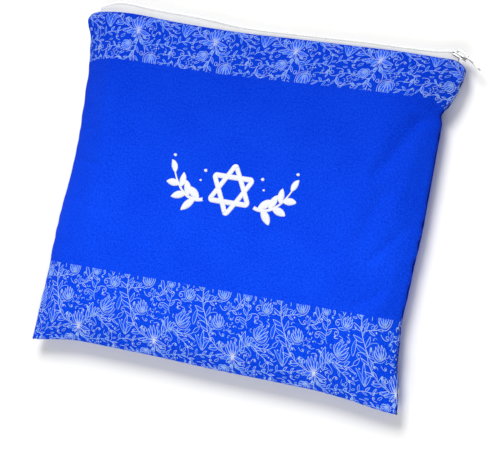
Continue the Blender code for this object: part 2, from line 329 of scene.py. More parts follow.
def gridPiece(name, finish, grid, side):
    # a sheet as an even grid, and how far across and along it each point lies
    bm = bmesh.new()
    bmesh.ops.create_grid(bm, x_segments=grid["columns"], y_segments=grid["rows"], size=0.5)
    if side < 0:
        bmesh.ops.reverse_faces(bm, faces=bm.faces[:])
    piece = newPiece(name, bm, finish)
    flat = getPoints(piece.data)
    return piece, flat[:, 0] + 0.5, flat[:, 1] + 0.5


def thicken(piece, name, thickness, offset=-1):
    wall = piece.modifiers.new(name, "SOLIDIFY")
    wall.thickness = thickness
    wall.offset = offset


# shader maths
class Sock:
    def __init__(self, graph, socket):
        self.graph, self.socket = graph, socket

    def math(self, operation, *others, **settings):
        return self.graph.node("ShaderNodeMath", {"operation": operation, **settings}, self, *others)

    def __add__(self, other):
        return self.math("ADD", other)

    def __sub__(self, other):
        return self.math("SUBTRACT", other)

    def __rsub__(self, other):
        return self.graph.node("ShaderNodeMath", {"operation": "SUBTRACT"}, other, self)

    def __mul__(self, other):
        return self.math("MULTIPLY", other)

    def __truediv__(self, other):
        return self.math("DIVIDE", other)

    __radd__, __rmul__ = __add__, __mul__

    def sin(self):
        return self.math("SINE")

    def abs(self):
        return self.math("ABSOLUTE")

    def clamp(self):
        return self.math("ADD", 0.0, use_clamp=True)


class Graph:
    def __init__(self, name, **fixed):
        self.material = bpy.data.materials.new(name)
        self.material.use_nodes = True
        self.tree = self.material.node_tree
        self.shader = self.tree.nodes["Principled BSDF"]
        for socket, value in fixed.items():
            self.shader.inputs[socket.replace("_", " ")].default_value = value

    def node(self, kind, settings, *values, out=0, **named):
        made = self.tree.nodes.new(kind)
        for setting, value in settings.items():
            setattr(made, setting, value)
        for key, value in [*enumerate(values), *named.items()]:
            self.feed(value, made.inputs[key if isinstance(key, int) else key.replace("_", " ")])
        return Sock(self, made.outputs[out])

    def feed(self, value, socket):
        if isinstance(value, Sock):
            self.tree.links.new(value.socket, socket)
        else:
            socket.default_value = value

    def place(self):
        return self.node("ShaderNodeTexCoord", {}, out="Object")

    def clothPlace(self):
        return self.node("ShaderNodeUVMap", {"uv_map": "clothMap"})

    def split(self, vector):
        made = self.node("ShaderNodeSeparateXYZ", {}, vector)
        return [Sock(self, output) for output in made.socket.node.outputs]

    def attribute(self, name):
        return self.node("ShaderNodeAttribute", {"attribute_name": name}, out="Fac")

    def scaled(self, vector, x, y, z):
        return self.node("ShaderNodeVectorMath", {"operation": "MULTIPLY"}, vector, (x, y, z))

    def noise(self, vector, scale, detail, roughness):
        return self.node("ShaderNodeTexNoise", {}, vector, Scale=scale, Detail=detail, Roughness=roughness)

    def mix(self, factor, first, second):
        made = self.tree.nodes.new("ShaderNodeMix")
        made.data_type = "RGBA"
        for name, value in (("Factor", factor), ("A", first), ("B", second)):
            coloured = name != "Factor"
            socket = next(s for s in made.inputs if s.name == name and (s.type == "RGBA") == coloured)
            self.feed((*value, 1.0) if coloured and not isinstance(value, Sock) else value, socket)
        return Sock(self, next(s for s in made.outputs if s.type == "RGBA"))

    def bump(self, height, distance, strength=1.0):
        return self.node("ShaderNodeBump", {}, Height=height, Distance=distance, Strength=strength)

    def set(self, **linked):
        for name, sock in linked.items():
            self.tree.links.new(sock.socket, self.shader.inputs[name.replace("_", " ")])
        return self.material


clothLook = {
    "deep": (0.0002, 0.026, 0.63),
    "bright": (0.0056, 0.088, 0.95),
    "bandDeep": (0.0003, 0.024, 0.60),
    "bandBright": (0.0044, 0.096, 0.92),
    # painted shade colour, mixed over the cloth towards its zip edge
    "paintedShade": (0.0002, 0.008, 0.26),
    # painted shade colour along the seams, where the cloth turns in
    "seam": (0.0003, 0.005, 0.13),
    "seamShadeWidth": 2.6 * mm,
    "fleck": (0.035, 0.13, 0.92),
    "mottle": (0.4, 1.5, 1.9, 1.4),  # shares of clouds, grain and specks, and what is taken off their sum
    "flecked": (5.0, 3.1, 0.35),  # how sharp the flecks are, how rare, and how strong
    "paintedZipShade": (0.84, 0.34),  # how fast the shade grows up the bag, and what is taken off it
    "weavePitch": 0.55 * mm,
    "cut": (0.36, 0.30),  # metres that the cloth's map spans, for its patterns
}
inkLook = {
    "line": (0.13, 0.37, 0.88),
    "glow": (0.76, 0.82, 0.97),
    "cloth": (0.0050, 0.085, 0.88),
    # painted shade colour, mixed over the ink towards the zip edge
    "paintedShade": (0.025, 0.085, 0.52),
    "paintedZipShade": (0.68, 0.27),
}
satinPitch = 0.42  # mm from thread to thread
tapeThreads = {"ribs": 400, "twills": 260, "lean": 5}  # over the tape's map


def weaveHeight(graph, spot):
    # crossing threads of a plain weave
    across, along = graph.split(spot)[:2]
    width, height = clothLook["cut"]
    turns = 2 * math.pi / clothLook["weavePitch"]
    return (across * (width * turns)).sin() * (along * (height * turns)).sin()


def paintedZipShade(along, look):
    # painted shade: nothing over the lower part of the cloth, most at its zip edge
    gain, off = look["paintedZipShade"]
    return (along * gain - off).clamp()


def makeClothMaterial():
    look = clothLook
    graph = Graph(
        "royalCloth",
        Sheen_Weight=0.005,
        Sheen_Roughness=0.5,
        Sheen_Tint=(0.6, 0.72, 1.0, 1.0),
        Specular_IOR_Level=0.015,
    )
    spot = graph.clothPlace()
    flat = graph.scaled(spot, *look["cut"], 0.0)
    cloudy = graph.noise(flat, 26.0, 3.0, 0.55)
    grain = graph.noise(flat, 520.0, 2.0, 0.75)
    speck = graph.noise(flat, 1300.0, 1.0, 0.6)
    clouds, grains, specks, off = look["mottle"]
    shade = (cloudy * clouds + grain * grains + speck * specks - off).clamp()
    plain = graph.mix(shade, look["deep"], look["bright"])
    printed = graph.mix(shade, look["bandDeep"], look["bandBright"])
    inBand = graph.attribute("bandDepth").math("GREATER_THAN", 0.0)
    sharp, rare, strong = look["flecked"]
    fleck = (speck * sharp - rare).clamp() * strong
    colour = graph.mix(fleck, graph.mix(inBand, plain, printed), look["fleck"])
    # painted shade: deeper towards the zip, and dark where the cloth turns in to its seams
    across, along = graph.split(spot)[:2]
    colour = graph.mix(paintedZipShade(along, look), colour, look["paintedShade"])
    width, height = look["cut"]
    fromSide = (0.5 - (across - 0.5).abs()) * width
    fromEnd = (0.5 - (along - 0.5).abs()) * height
    # painted shade where the cloth turns in to its seams, darkest at the cut's edge and fading inwards
    seamShade = (1 - fromSide.math("MINIMUM", fromEnd) / look["seamShadeWidth"]).clamp() * 0.8
    relief = weaveHeight(graph, spot) * 0.35 + grain * 1.1 + speck * 0.6
    return graph.set(
        Base_Color=graph.mix(seamShade, colour, look["seam"]),
        Roughness=0.6 + grain * 0.2,
        Normal=graph.bump(relief, 0.12 * mm),
    )


def makeInkMaterial():
    look = inkLook
    graph = Graph("paleInk", Roughness=0.65, Specular_IOR_Level=0.08)
    white, spot = graph.attribute("inkWhite"), graph.clothPlace()
    worn = graph.noise(graph.scaled(spot, *clothLook["cut"], 0.0), 900.0, 2.0, 0.6)
    pale = graph.mix((white * 1.1 - worn * 0.2).clamp(), look["line"], look["glow"])
    colour = graph.mix((0 - white + worn * 0.3).clamp(), pale, look["cloth"])
    # painted shade over the ink, deeper towards the zip, as on the cloth
    colour = graph.mix(paintedZipShade(graph.split(spot)[1], look), colour, look["paintedShade"])
    height = weaveHeight(graph, spot) * 0.5 + worn
    return graph.set(Base_Color=colour, Normal=graph.bump(height, 0.04 * mm, 0.6))


def makeStitchMaterial():
    # white satin stitches, whose threads lie across each drawn stroke
    graph = Graph("whiteSatinThread", Roughness=0.5, Sheen_Weight=0.2, Sheen_Roughness=0.3)
    uneven = graph.noise(graph.place(), 900.0, 2.0, 0.6)
    thread = (graph.attribute("travel") * (2 * math.pi / satinPitch) + uneven * 3.0).sin()
    # painted shade between the threads, darker in each groove and lighter on each crest, mixed with random
    # unevenness in the thread's white
    lit = (thread * 0.25 + 0.55 + uneven * 0.2).clamp()
    colour = graph.mix(lit, (0.72, 0.76, 0.88), (0.90, 0.91, 0.94))
    return graph.set(Base_Color=colour, Normal=graph.bump(thread * 0.5 + uneven, 0.12 * mm, 0.8))


def makeTapeMaterial():
    graph = Graph("whiteZipTape", Roughness=0.75, Sheen_Weight=0.15, Sheen_Roughness=0.4)
    across, along = (place * (2 * math.pi) for place in graph.split(graph.clothPlace())[:2])
    rib = (across * tapeThreads["ribs"]).sin()
    twill = (across * tapeThreads["twills"] + along * tapeThreads["lean"]).sin()
    dusty = graph.noise(graph.place(), 130.0, 3.0, 0.6)
    colour = graph.mix((dusty * 0.9 + rib * 0.08).clamp(), (0.60, 0.61, 0.62), (0.70, 0.71, 0.72))
    return graph.set(Base_Color=colour, Normal=graph.bump(rib * 0.5 + twill * 0.5 + dusty, 0.07 * mm, 0.8))


def makeMetalMaterial():
    graph = Graph("nickelPlate", Metallic=1.0)
    spot = graph.place()
    scuff = graph.noise(graph.scaled(spot, 1.0, 6.0, 1.0), 420.0, 3.0, 0.65)
    colour = graph.mix(graph.noise(spot, 190.0, 2.0, 0.5), (0.36, 0.36, 0.355), (0.60, 0.60, 0.59))
    height = graph.bump(scuff, 0.02 * mm, 0.5)
    return graph.set(Base_Color=colour, Roughness=0.2 + scuff * 0.22, Normal=height)


def makeSpunMaterial(name, scale, dark, light, depth, strength, **fixed):
    # nylon or thread, clouded between two colours
    graph = Graph(name, **fixed)
    cloudy = graph.noise(graph.place(), scale, 2.0, 0.6)
    return graph.set(Base_Color=graph.mix(cloudy, dark, light), Normal=graph.bump(cloudy, depth, strength))


def makeFloorMaterial():
    graph = Graph("paleFloor", Roughness=0.85)
    cloudy = graph.noise(graph.place(), 3.0, 3.0, 0.5)
    return graph.set(Base_Color=graph.mix(cloudy, (0.885, 0.882, 0.86), (0.91, 0.907, 0.885)))


royalCloth = makeClothMaterial()
paleInk = makeInkMaterial()
whiteSatinThread = makeStitchMaterial()
whiteZipTape = makeTapeMaterial()
nylonCoil = makeSpunMaterial(
    "nylonCoil", 260.0, (0.88, 0.89, 0.90), (0.96, 0.96, 0.96), 0.03 * mm, 0.5,
    Roughness=0.4, Specular_IOR_Level=0.5,
)
nickelPlate = makeMetalMaterial()
blueThread = makeSpunMaterial(
    "blueThread", 2600.0, (0.004, 0.045, 0.55), (0.012, 0.12, 0.95), 0.05 * mm, 0.7,
    Roughness=0.5, Sheen_Weight=0.2,
)
print("materials made")


# the two printed bands: which edge each lies along, its usual height, where the row of flowers stands,
# and the height at places across, all on the flat cut in mm
bands = (
    {
        "name": "LowPrint",
        "edge": "bottom",
        "tall": 76.0,
        "footX": 26.0,
        "footIn": 21.0,
        "slope": 0.0,
        "repeat": 75.0,
        "heights": (
            (-180, 77.8), (-166, 76.8), (-154, 75.1), (-133, 73.0), (-102, 73.2), (-60, 74.1),
            (-18, 75.4), (24, 76.0), (65, 76.3), (107, 77.1), (139, 79.5), (161, 81.7), (180, 82.9),
        ),
    },
    {
        "name": "TopPrint",
        "edge": "top",
        "tall": 46.0,
        "footX": 30.5,
        "footIn": 17.2,
        "slope": 0.012,
        "repeat": 74.5,
        "heights": (
            (-180, 50.6), (-167, 50.5), (-150, 50.2), (-130, 49.5), (-110, 48.2), (-78, 47.3),
            (-41, 46.5), (0, 45.5), (35, 45.2), (67, 44.7), (98, 44.2), (140, 42.9), (154, 41.9),
            (163, 42.9), (180, 44.6),
        ),
    },
)


def bandPart(band, flat, height):
    # how far flat points in metres lie from the band's edge, and how tall the band is there
    away = height / 2 + flat[:, 1] * (1 if band["edge"] == "bottom" else -1)
    return away, smoothColumn(band["heights"], 1, flat[:, 0])


def makeCloth(name, surface):
    piece, u, v = gridPiece(name, royalCloth, clothGrid, surface.cloth["side"])
    setPoints(piece.data, surface.sample(surface.points, u, v))
    setMap(piece.data, u, v)
    depth = np.full(len(u), -1.0)
    flat = np.stack([(u - 0.5) * surface.cutWidth, (v - 0.5) * surface.cutHeight], axis=1)
    for band in bands:
        away, tall = bandPart(band, flat, surface.cutHeight)
        depth = np.maximum(depth, tall - away)
    attribute = piece.data.attributes.new("bandDepth", "FLOAT", "POINT")
    attribute.data.foreach_set("value", depth.astype(np.float32))
    thicken(piece, "cloth", clothGrid["thickness"])
    return piece


frontSurface = ClothSurface(frontCloth)
backSurface = ClothSurface(backCloth)
frontPanel = makeCloth("frontCloth", frontSurface)
backPanel = makeCloth("backCloth", backSurface)
for piece, node in ((frontPanel, "front_panel"), (backPanel, "back_panel")):
    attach(piece, "bag")
    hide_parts(node)
cutSides = [round(length / mm, 1) for length in (frontSurface.cutWidth, frontSurface.cutHeight)]
print("front surface along the cloth, in mm:", *cutSides)

# the floral print: one repeat drawn flat in mm round the main flower's foot, then laid on both panels
printRepeat = {
    "pitch": 75.0,
    "low": -31.0,
    "high": 60.0,
    "line": 0.41,
    "vein": 0.3,
    "white": (0.2, 0.4),  # how pale every line is, and how much paler some are
    "glow": (0.9, 3.2),  # strength and reach of the white at the main flower's foot
    "offLine": 0.07,  # how far off a stroke a dropped point may lie
    "longest": 1.8,  # the longest step along a stroke
    "sprigs": (  # four control points of the stem, leaf length, distance between leaves, what ends it
        ((2, 2, 9, 11, 15, 14, 22, 18), 9.5, 5.0, "none"),
        ((12, 11, 20, 17, 31, 8, 38, 15), 9.5, 5.4, "leaf"),
        ((19, 14, 24, 5, 33, 5, 33, -2), 8.0, 5.6, "curl"),
        ((-3, 0, -13, 3, -22, 9, -24, 23), 10.5, 6.0, "none"),
        ((-24, 23, -26, 33, -34, 38, -32, 54), 12.0, 6.4, "leaf"),
        ((-25, 28, -23, 21, -18, 19, -13, 23), 6.5, 5.5, "none"),
        ((-31, 41, -27, 46, -20, 43, -13, 48), 8.0, 5.4, "none"),
        ((-7, 36, -3, 43, 2, 37, 5, 45), 8.0, 5.0, "leaf"),
        ((14, 27, 9, 34, 15, 40, 11, 50), 8.5, 5.6, "none"),
        ((33, 40, 25, 43, 30, 50, 24, 58), 8.5, 5.4, "leaf"),
        ((0, -2, 2, -10, -6, -17, 0, -30), 8.0, 6.4, "none"),
        ((0, -17, -8, -24, -20, -12, -30, -18), 7.5, 5.6, "curl"),
        ((1, -10, 9, -18, 18, -6, 30, -10), 7.5, 5.6, "curl"),
        ((-37, -8, -31, -1, -24, -6, -17, -2), 7.0, 5.0, "curl"),
        ((37, -22, 33, -29, 27, -23, 22, -27), 7.0, 5.0, "curl"),
        ((-30, -18, -35, -24, -27, -31, -20, -27), 6.5, 4.8, "curl"),
        ((30, -10, 37, -12, 35, -19, 28, -18), 6.0, 4.6, "curl"),
        ((-4, -20, -8, -30, -14, -28, -16, -23), 5.5, 4.4, "curl"),
    ),
    "leaves": (  # foot x, y, heading, length, width, bend
        (8.5, 4, 78, 21, 5.2, -16), (-29, 0, 84, 19, 3.4, -14), (-29, 0, 114, 15, 3.0, 28),
        (-29, 0, 56, 13, 2.8, -30), (0, 0, 196, 12, 3.6, -22), (0, 0, 345, 12, 4.0, 18),
        (0, -1, 222, 9, 2.6, 18), (-37, 22, 84, 14, 3.4, -18), (4, 46, 104, 11, 3.2, -20),
    ),
    "paddles": (  # foot x, y, heading, length, bend
        (0, 0, 242, 8.5, -16), (0, 0, 258, 12.5, 10), (0, 0, 288, 11.5, -12), (0, 0, 312, 10.5, 22),
        (-24, 23, 72, 9.0, 20), (12, 11, 110, 10.0, 24), (-13, 3, 88, 9.0, -24),
    ),
    "curls": (  # start x, y, heading, size, hand
        (-17, 5.5, 60, 4.6, -1), (-6, 2, 150, 4.0, -1), (13, 12, -40, 4.4, -1), (-25, 33, 30, 4.8, -1),
        (-24, 24, 150, 4.4, 1), (12, 33, 150, 4.6, 1), (13, 38, 30, 4.6, -1), (29, 46, 150, 4.4, 1),
        (22, 19, 120, 4.0, -1), (-29, 44, 60, 4.2, -1), (1, -8, -20, 4.6, 1), (-1, -14, 200, 4.2, -1),
        (6, -13, -60, 4.0, -1), (-24, -12, -60, 4.0, 1),
    ),
    "peonies": (  # foot x, y, heading, radius, hand
        (23.5, 19.5, 52, 6.9, -1), (-12, 24, 112, 5.6, 1), (-8, -12, 226, 4.6, 1),
        (14, -20, 285, 6.2, -1), (-12, 48.5, 98, 5.6, -1), (29, 43, 66, 4.8, 1),
    ),
    "tulips": (  # foot x, y, heading, length, width
        (0, 0, 93, 14.5, 9.6), (11, 50, 96, 8.5, 6.6), (-33, 54, 100, 8.0, 6.0),
    ),
    "stars": ((-5.5, 24.5, 4.3), (17, -16.5, 3.0), (-19, -22, 3.2)),
    "fillers": (  # room that one takes, tries, kinds to pick from
        (4.6, 900, ("curl", "curl", "paddle")),
        (3.2, 1200, ("curl", "curl", "leaf")),
        (2.3, 1000, ("curl", "comma", "leaf")),
        (1.6, 120, ("dot",)),
    ),
    "seed": 11,
}


def bezier(row, step=0.35):
    a, b, c, d = np.array(row, float).reshape(4, 2)
    length = np.linalg.norm(b - a) + np.linalg.norm(c - b) + np.linalg.norm(d - c)
    t = np.linspace(0, 1, max(6, int(length / step)))[:, None]
    return (1 - t) ** 3 * a + 3 * (1 - t) ** 2 * t * b + 3 * (1 - t) * t * t * c + t**3 * d


def towards(heading, reach=1.0):
    turn = math.radians(heading)
    return np.array([math.cos(turn), math.sin(turn)]) * reach


def around(turn):
    return np.stack([np.cos(turn), np.sin(turn)], axis=1)


def headingOf(ahead):
    return math.degrees(math.atan2(ahead[1], ahead[0]))


def travelAlong(path):
    return np.concatenate([[0], np.cumsum(np.linalg.norm(np.diff(path, axis=0), axis=1))])


def placed(points, foot, heading):
    ahead, aside = towards(heading), towards(heading + 90)
    points = np.array(points, float).reshape(-1, 2)
    return np.array(foot) + points[:, :1] * ahead + points[:, 1:] * aside


def bowed(foot, heading, length, bend, count=24):
    # an even arc whose middle runs along the heading, and that turns by bend degrees in all
    turn = np.radians(heading + bend * (np.linspace(0, 1, count) - 0.5))
    steps = around(turn) * length / (count - 1)
    return np.array(foot, float) + np.concatenate([[[0, 0]], np.cumsum(steps[1:], axis=0)])


def sideways(path):
    ahead = np.gradient(path, axis=0)
    ahead /= np.maximum(np.linalg.norm(ahead, axis=1, keepdims=True), 1e-9)
    return np.stack([-ahead[:, 1], ahead[:, 0]], axis=1)


def stroke(path, width, tint=0.0, level=0):
    return {"path": path, "width": width, "tint": tint, "level": level}


def leafStrokes(foot, heading, length, width, bend=0.0, rib=True, fill=0.0):
    axis = bowed(foot, heading, length, bend)
    t = np.linspace(0, 1, len(axis))
    half = width / 2 * np.sin(math.pi * t**0.82) ** 0.85
    aside = sideways(axis)
    drawn = [stroke(axis + aside * (half * hand)[:, None], printRepeat["line"]) for hand in (1, -1)]
    if rib and width > 3.4:
        drawn.append(stroke(axis[2:-5] + aside[2:-5] * 0.06 * width, printRepeat["vein"]))
    if fill:
        drawn.append(stroke(axis[1:-1], half[1:-1] * 1.8, fill, -1))
    return drawn


def tulipStrokes(foot, heading, length, width):
    # a middle petal and two on each side that cup round it
    lean = math.degrees(math.atan2(width / 2, length))
    drawn = leafStrokes(foot, heading, length, width * 0.3, rib=False, fill=-0.84)
    for hand in (1, -1):
        for share, tall in ((0.72, 0.97), (1.5, 0.86)):
            turn = lean * share * hand
            petal = width * 0.27, -2.3 * turn  # its width, and how far it bends back in
            drawn += leafStrokes(foot, heading + turn, length * tall, *petal, rib=False, fill=-0.86)
    return drawn


def peonyStrokes(foot, heading, radius, hand):
    # a flower that two arcs cup round its foot
    drawn = tulipStrokes(foot, heading, radius * 2.05, radius * 1.45)
    middle = np.array(foot) + towards(heading, radius * 0.86)
    for share, before, after in ((1.08, 112, 86), (1.36, 118, 22)):
        turn = np.radians(heading + 180 + hand * np.linspace(-before, after, 40))
        reach = radius * share * (1 + 0.05 * np.sin(turn * 3))
        arc = middle + around(turn) * reach[:, None] * 0.92
        drawn.append(stroke(arc, printRepeat["line"]))
    return drawn


def dotStrokes(middle, radius):
    ends = np.array([(-1, 0), (-0.4, 0), (0.4, 0), (1, 0)]) * radius * 0.8
    return [stroke(np.array(middle) + ends, np.array([0.9, 1.9, 1.9, 0.9]) * radius, 0.1)]


def curlStrokes(start, heading, size, hand):
    # a tendril that winds in on itself and ends in a dot
    t = np.linspace(0, 1, 48)
    turn = np.radians(heading) + hand * (0.9 * np.sin(2.2 * t) * t + 6.6 * t**2.6)
    path = np.array(start, float) + np.cumsum(around(turn) * size * 4.6 / 48, axis=0)
    return [stroke(path, printRepeat["line"] * (1.1 - 0.2 * t))] + dotStrokes(path[-1], 0.6)


def commaStrokes(start, heading, length, hand):
    # a short hook that ends in a dot
    path = bowed(start, heading, length, 165 * hand, 14)
    width = printRepeat["line"] * np.linspace(0.8, 1.2, len(path))
    return [stroke(path, width)] + dotStrokes(path[-1], 0.62)


def paddleStrokes(foot, heading, length, bend):
    # a thin stalk with a drop at its end
    stalk = bowed(foot, heading, length * 0.62, bend)
    drawn = [stroke(stalk, printRepeat["line"] * 0.9)]
    turned = heading + bend * 0.7
    return drawn + leafStrokes(stalk[-1], turned, length * 0.4, length * 0.2, bend, rib=False, fill=0.2)


def sprigStrokes(row, leafLength, spacing, ending):
    stem = bezier(row)
    drawn = [stroke(stem, printRepeat["line"] * 1.15)]
    ahead = np.gradient(stem, axis=0)
    run = travelAlong(stem)
    hand = 1
    for k, at in enumerate(np.arange(spacing * 0.6, run[-1] - spacing * 0.4, spacing * 0.68)):
        i = int(np.searchsorted(run, at))
        share = at / run[-1]
        heading = headingOf(ahead[i]) + hand * 44
        length = leafLength * (1 - 0.3 * share) * (1.0 if hand > 0 else 0.86)
        if k % 5 == 3:
            drawn += curlStrokes(stem[i], heading, length * 0.42, -hand)
        else:
            width = length * 0.27
            drawn += leafStrokes(stem[i], heading, length, width, -hand * 30, rib=length > 8, fill=-0.9)
        hand = -hand
    heading = headingOf(ahead[-1])
    if ending == "leaf":
        drawn += leafStrokes(stem[-1], heading, leafLength * 0.9, leafLength * 0.3, 12)
    elif ending == "curl":
        drawn += curlStrokes(stem[-1], heading, leafLength * 0.55, hand)
    return drawn


def behindFlowers(drawn, discs):
    # cuts away what would run through a flower
    kept = []
    for item in drawn:
        path, width = item["path"], np.broadcast_to(item["width"], len(item["path"]))
        free = np.ones(len(path), bool)
        for x, y, radius in discs:
            for shift in (-printRepeat["pitch"], 0, printRepeat["pitch"]):
                free &= np.hypot(path[:, 0] - x - shift, path[:, 1] - y) > radius
        edges = np.flatnonzero(np.diff(np.concatenate([[0], free, [0]])))
        for start, end in zip(edges[::2], edges[1::2]):
            if end - start > 3:
                kept.append(stroke(path[start:end], width[start:end], item["tint"], item["level"]))
    return kept


def starStrokes(middle, radius):
    corners = [
        np.array(middle) + towards(90 + 36 * i, radius * (1 if i % 2 == 0 else 0.42)) for i in range(11)
    ]
    return [stroke(np.array(pair), printRepeat["line"] * 0.85) for pair in zip(corners, corners[1:])]


def fillGaps(drawn):
    # small curls, leaves and dots where the listed drawing leaves room
    pitch = printRepeat["pitch"]
    rng = np.random.default_rng(printRepeat["seed"])
    taken = np.concatenate([s["path"][::3] for s in drawn])
    for size, tries, kinds in printRepeat["fillers"]:
        for _ in range(tries):
            spot = rng.uniform((-pitch / 2, printRepeat["low"]), (pitch / 2, printRepeat["high"]))
            heading, hand, kind = rng.uniform(0, 360), rng.choice((-1, 1)), rng.choice(kinds)
            away = taken - spot
            away[:, 0] -= pitch * np.round(away[:, 0] / pitch)
            if np.hypot(away[:, 0], away[:, 1]).min() < size:
                continue
            foot = spot - towards(heading, size * 0.75)
            if kind == "dot":
                new = dotStrokes(spot, 0.78)
            elif kind == "leaf":
                new = leafStrokes(foot, heading, size * 1.7, size * 0.62, 34 * hand, rib=size > 3)
            elif kind == "comma":
                new = commaStrokes(foot, heading, size * 1.8, hand)
            elif kind == "paddle":
                new = paddleStrokes(foot, heading, size * 1.8, 40 * hand)
            else:
                new = curlStrokes(foot, heading, size * 0.8, hand)
            drawn = drawn + new
            taken = np.concatenate([taken] + [s["path"] for s in new])
    return drawn


def spare(path, width):
    # drops the points that a stroke can do without
    if len(path) < 5:
        return path, np.broadcast_to(width, len(path))
    keep, start = [0], 0
    for end in range(2, len(path)):
        chord = path[end] - path[start]
        length = np.linalg.norm(chord)
        between = path[start + 1:end] - path[start]
        off = np.abs(between @ np.array([-chord[1], chord[0]])) / max(length, 1e-9)
        if off.max() > printRepeat["offLine"] or length > printRepeat["longest"]:
            keep.append(end - 1)
            start = end - 1
    keep.append(len(path) - 1)
    return path[keep], np.broadcast_to(width, len(path))[keep]


# height over the cloth and film thickness; depth of the fills under the lines and bare rim, in mm
inkFilm = {"above": 0.08 * mm, "thickness": 0.13 * mm, "step": 0.03, "margin": 0.3}


def drawRibbon(bm, path, width, layer, values, across=1, crown=0.0, level=0.0):
    # a ribbon along a path in mm, as a grid strip; its width and its layer's value may vary
    count = len(path)
    made = bmesh.ops.create_grid(bm, x_segments=count - 1, y_segments=across, size=0.5)["verts"]
    aside = sideways(path)
    for vert in made:
        i = round((vert.co.x + 0.5) * (count - 1))
        share = vert.co.y * 2
        x, y = path[i] + aside[i] * (width[i] / 2 * share)
        vert.co = (x, y, level + crown * math.sqrt(max(0.0, 1 - share * share)))
        vert[layer] = float(values[i])


def drawRepeat():
    repeat = printRepeat
    drawn = []
    for row, leafLength, spacing, ending in repeat["sprigs"]:
        drawn += sprigStrokes(row, leafLength, spacing, ending)
    for x, y, heading, length, width, bend in repeat["leaves"]:
        drawn += leafStrokes((x, y), heading, length, width, bend, fill=-0.85)
    for x, y, *shape in repeat["paddles"]:
        drawn += paddleStrokes((x, y), *shape)
    for x, y, *shape in repeat["curls"]:
        drawn += curlStrokes((x, y), *shape)
    discs, flowers = [], []  # a disc is the ground that a flower covers
    for x, y, heading, radius, hand in repeat["peonies"]:
        discs.append((*((x, y) + towards(heading, radius * 0.85)), radius * 1.2))
        flowers += peonyStrokes((x, y), heading, radius, hand)
    for x, y, heading, length, width in repeat["tulips"]:
        discs.append((*((x, y) + towards(heading, length * 0.56)), width * 0.56))
        flowers += tulipStrokes((x, y), heading, length, width)
    for x, y, radius in repeat["stars"]:
        discs.append((x, y, radius * 1.1))
        flowers += starStrokes((x, y), radius)
    return fillGaps(behindFlowers(drawn, discs) + flowers + dotStrokes((0, 0), 1.2))


def makeRepeat():
    drawn = drawRepeat()
    bm = bmesh.new()
    layer = bm.verts.layers.float.new("inkWhite")
    rng = np.random.default_rng(printRepeat["seed"] + 1)
    (least, more), (strength, reach) = printRepeat["white"], printRepeat["glow"]
    for item in drawn:
        path, width = spare(item["path"], item["width"])
        glow = strength * np.exp(-((np.hypot(path[:, 0], path[:, 1]) / reach) ** 2))
        # lines vary in strength; the fills below them only brighten at the main flower's foot
        lit = least + more * rng.random() + glow if item["level"] == 0 else 0.4 * glow
        drawRibbon(bm, path, width, layer, item["tint"] + lit, level=item["level"] * inkFilm["step"])
    mesh = bpy.data.meshes.new("repeat")
    bm.to_mesh(mesh)
    bm.free()
    print("print repeat:", len(drawn), "strokes,", len(mesh.polygons), "faces")
    return mesh


def trim(bm, place, normal):
    everything = bm.verts[:] + bm.edges[:] + bm.faces[:]
    bmesh.ops.bisect_plane(bm, geom=everything, plane_co=place, plane_no=normal, clear_outer=True)


def makePrint(name, surface, repeat, band):
    width, height = surface.cutWidth / mm, surface.cutHeight / mm
    bm = bmesh.new()
    atBottom = band["edge"] == "bottom"
    low = -height / 2 if atBottom else height / 2 - band["tall"]
    foot = band["footIn"] - height / 2 if atBottom else height / 2 - band["footIn"]
    reach = int(width / band["repeat"] / 2) + 2
    for i in range(-reach, reach + 1):
        before = len(bm.verts)
        bm.from_mesh(repeat)
        bm.verts.ensure_lookup_table()
        x = band["footX"] + i * band["repeat"]
        bmesh.ops.translate(bm, verts=bm.verts[before:], vec=(x, foot + band["slope"] * x, 0))
    margin = inkFilm["margin"]
    trim(bm, (width / 2 - margin, 0, 0), (1, 0, 0))
    trim(bm, (margin - width / 2, 0, 0), (-1, 0, 0))
    trim(bm, (0, low + band["tall"] - (0 if atBottom else margin), 0), (0, 1, 0))
    trim(bm, (0, low + (margin if atBottom else 0), 0), (0, -1, 0))
    if surface.cloth["side"] < 0:
        bmesh.ops.reverse_faces(bm, faces=bm.faces[:])
    piece = newPiece(name, bm, paleInk)
    # stretched to the band's height at each place
    flat = getPoints(piece.data) * mm
    away, tall = bandPart(band, flat, surface.cutHeight)
    flat[:, 1] += away * (tall / (band["tall"] * mm) - 1) * (1 if atBottom else -1)
    flat[:, 2] += inkFilm["above"]
    points, u, v = surface.lay(flat)
    points[:, 2] = np.maximum(points[:, 2], 0.02 * mm)
    setPoints(piece.data, points)
    setMap(piece.data, u, v)
    thicken(piece, "film", inkFilm["thickness"])
    print(name, len(piece.data.polygons), "faces")
    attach(piece, "bag")
    return piece


repeatMesh = makeRepeat()
frontPrints = [makePrint("front" + band["name"], frontSurface, repeatMesh, band) for band in bands]
backPrints = [makePrint("back" + band["name"], backSurface, repeatMesh, band) for band in bands]

# the white embroidered ornament at the middle of the front, in mm from its own middle
ornament = {
    "middle": (-2.0, 9.0),
    "starReach": 22.0,
    "starLine": 4.7,
    "crown": 0.6,
    "stemLine": 3.2,
    "stem": (25, -12, 38, -17, 50, -9, 58, 8),  # four control points of the right-hand stem
    "leafLength": 16.5,
    "leafWidth": 7.6,
    "leaves": ((0.12, 1), (0.2, -1), (0.42, 1), (0.48, -1), (0.7, 1), (0.74, -1), (0.97, 0)),  # place, side
    "dots": ((60.5, 21.5, 3.0), (28.0, 13.0, 3.2), (31.0, 4.0, 2.2)),  # x, y, size
    "above": 0.06 * mm,
    "thickness": 0.25 * mm,
}


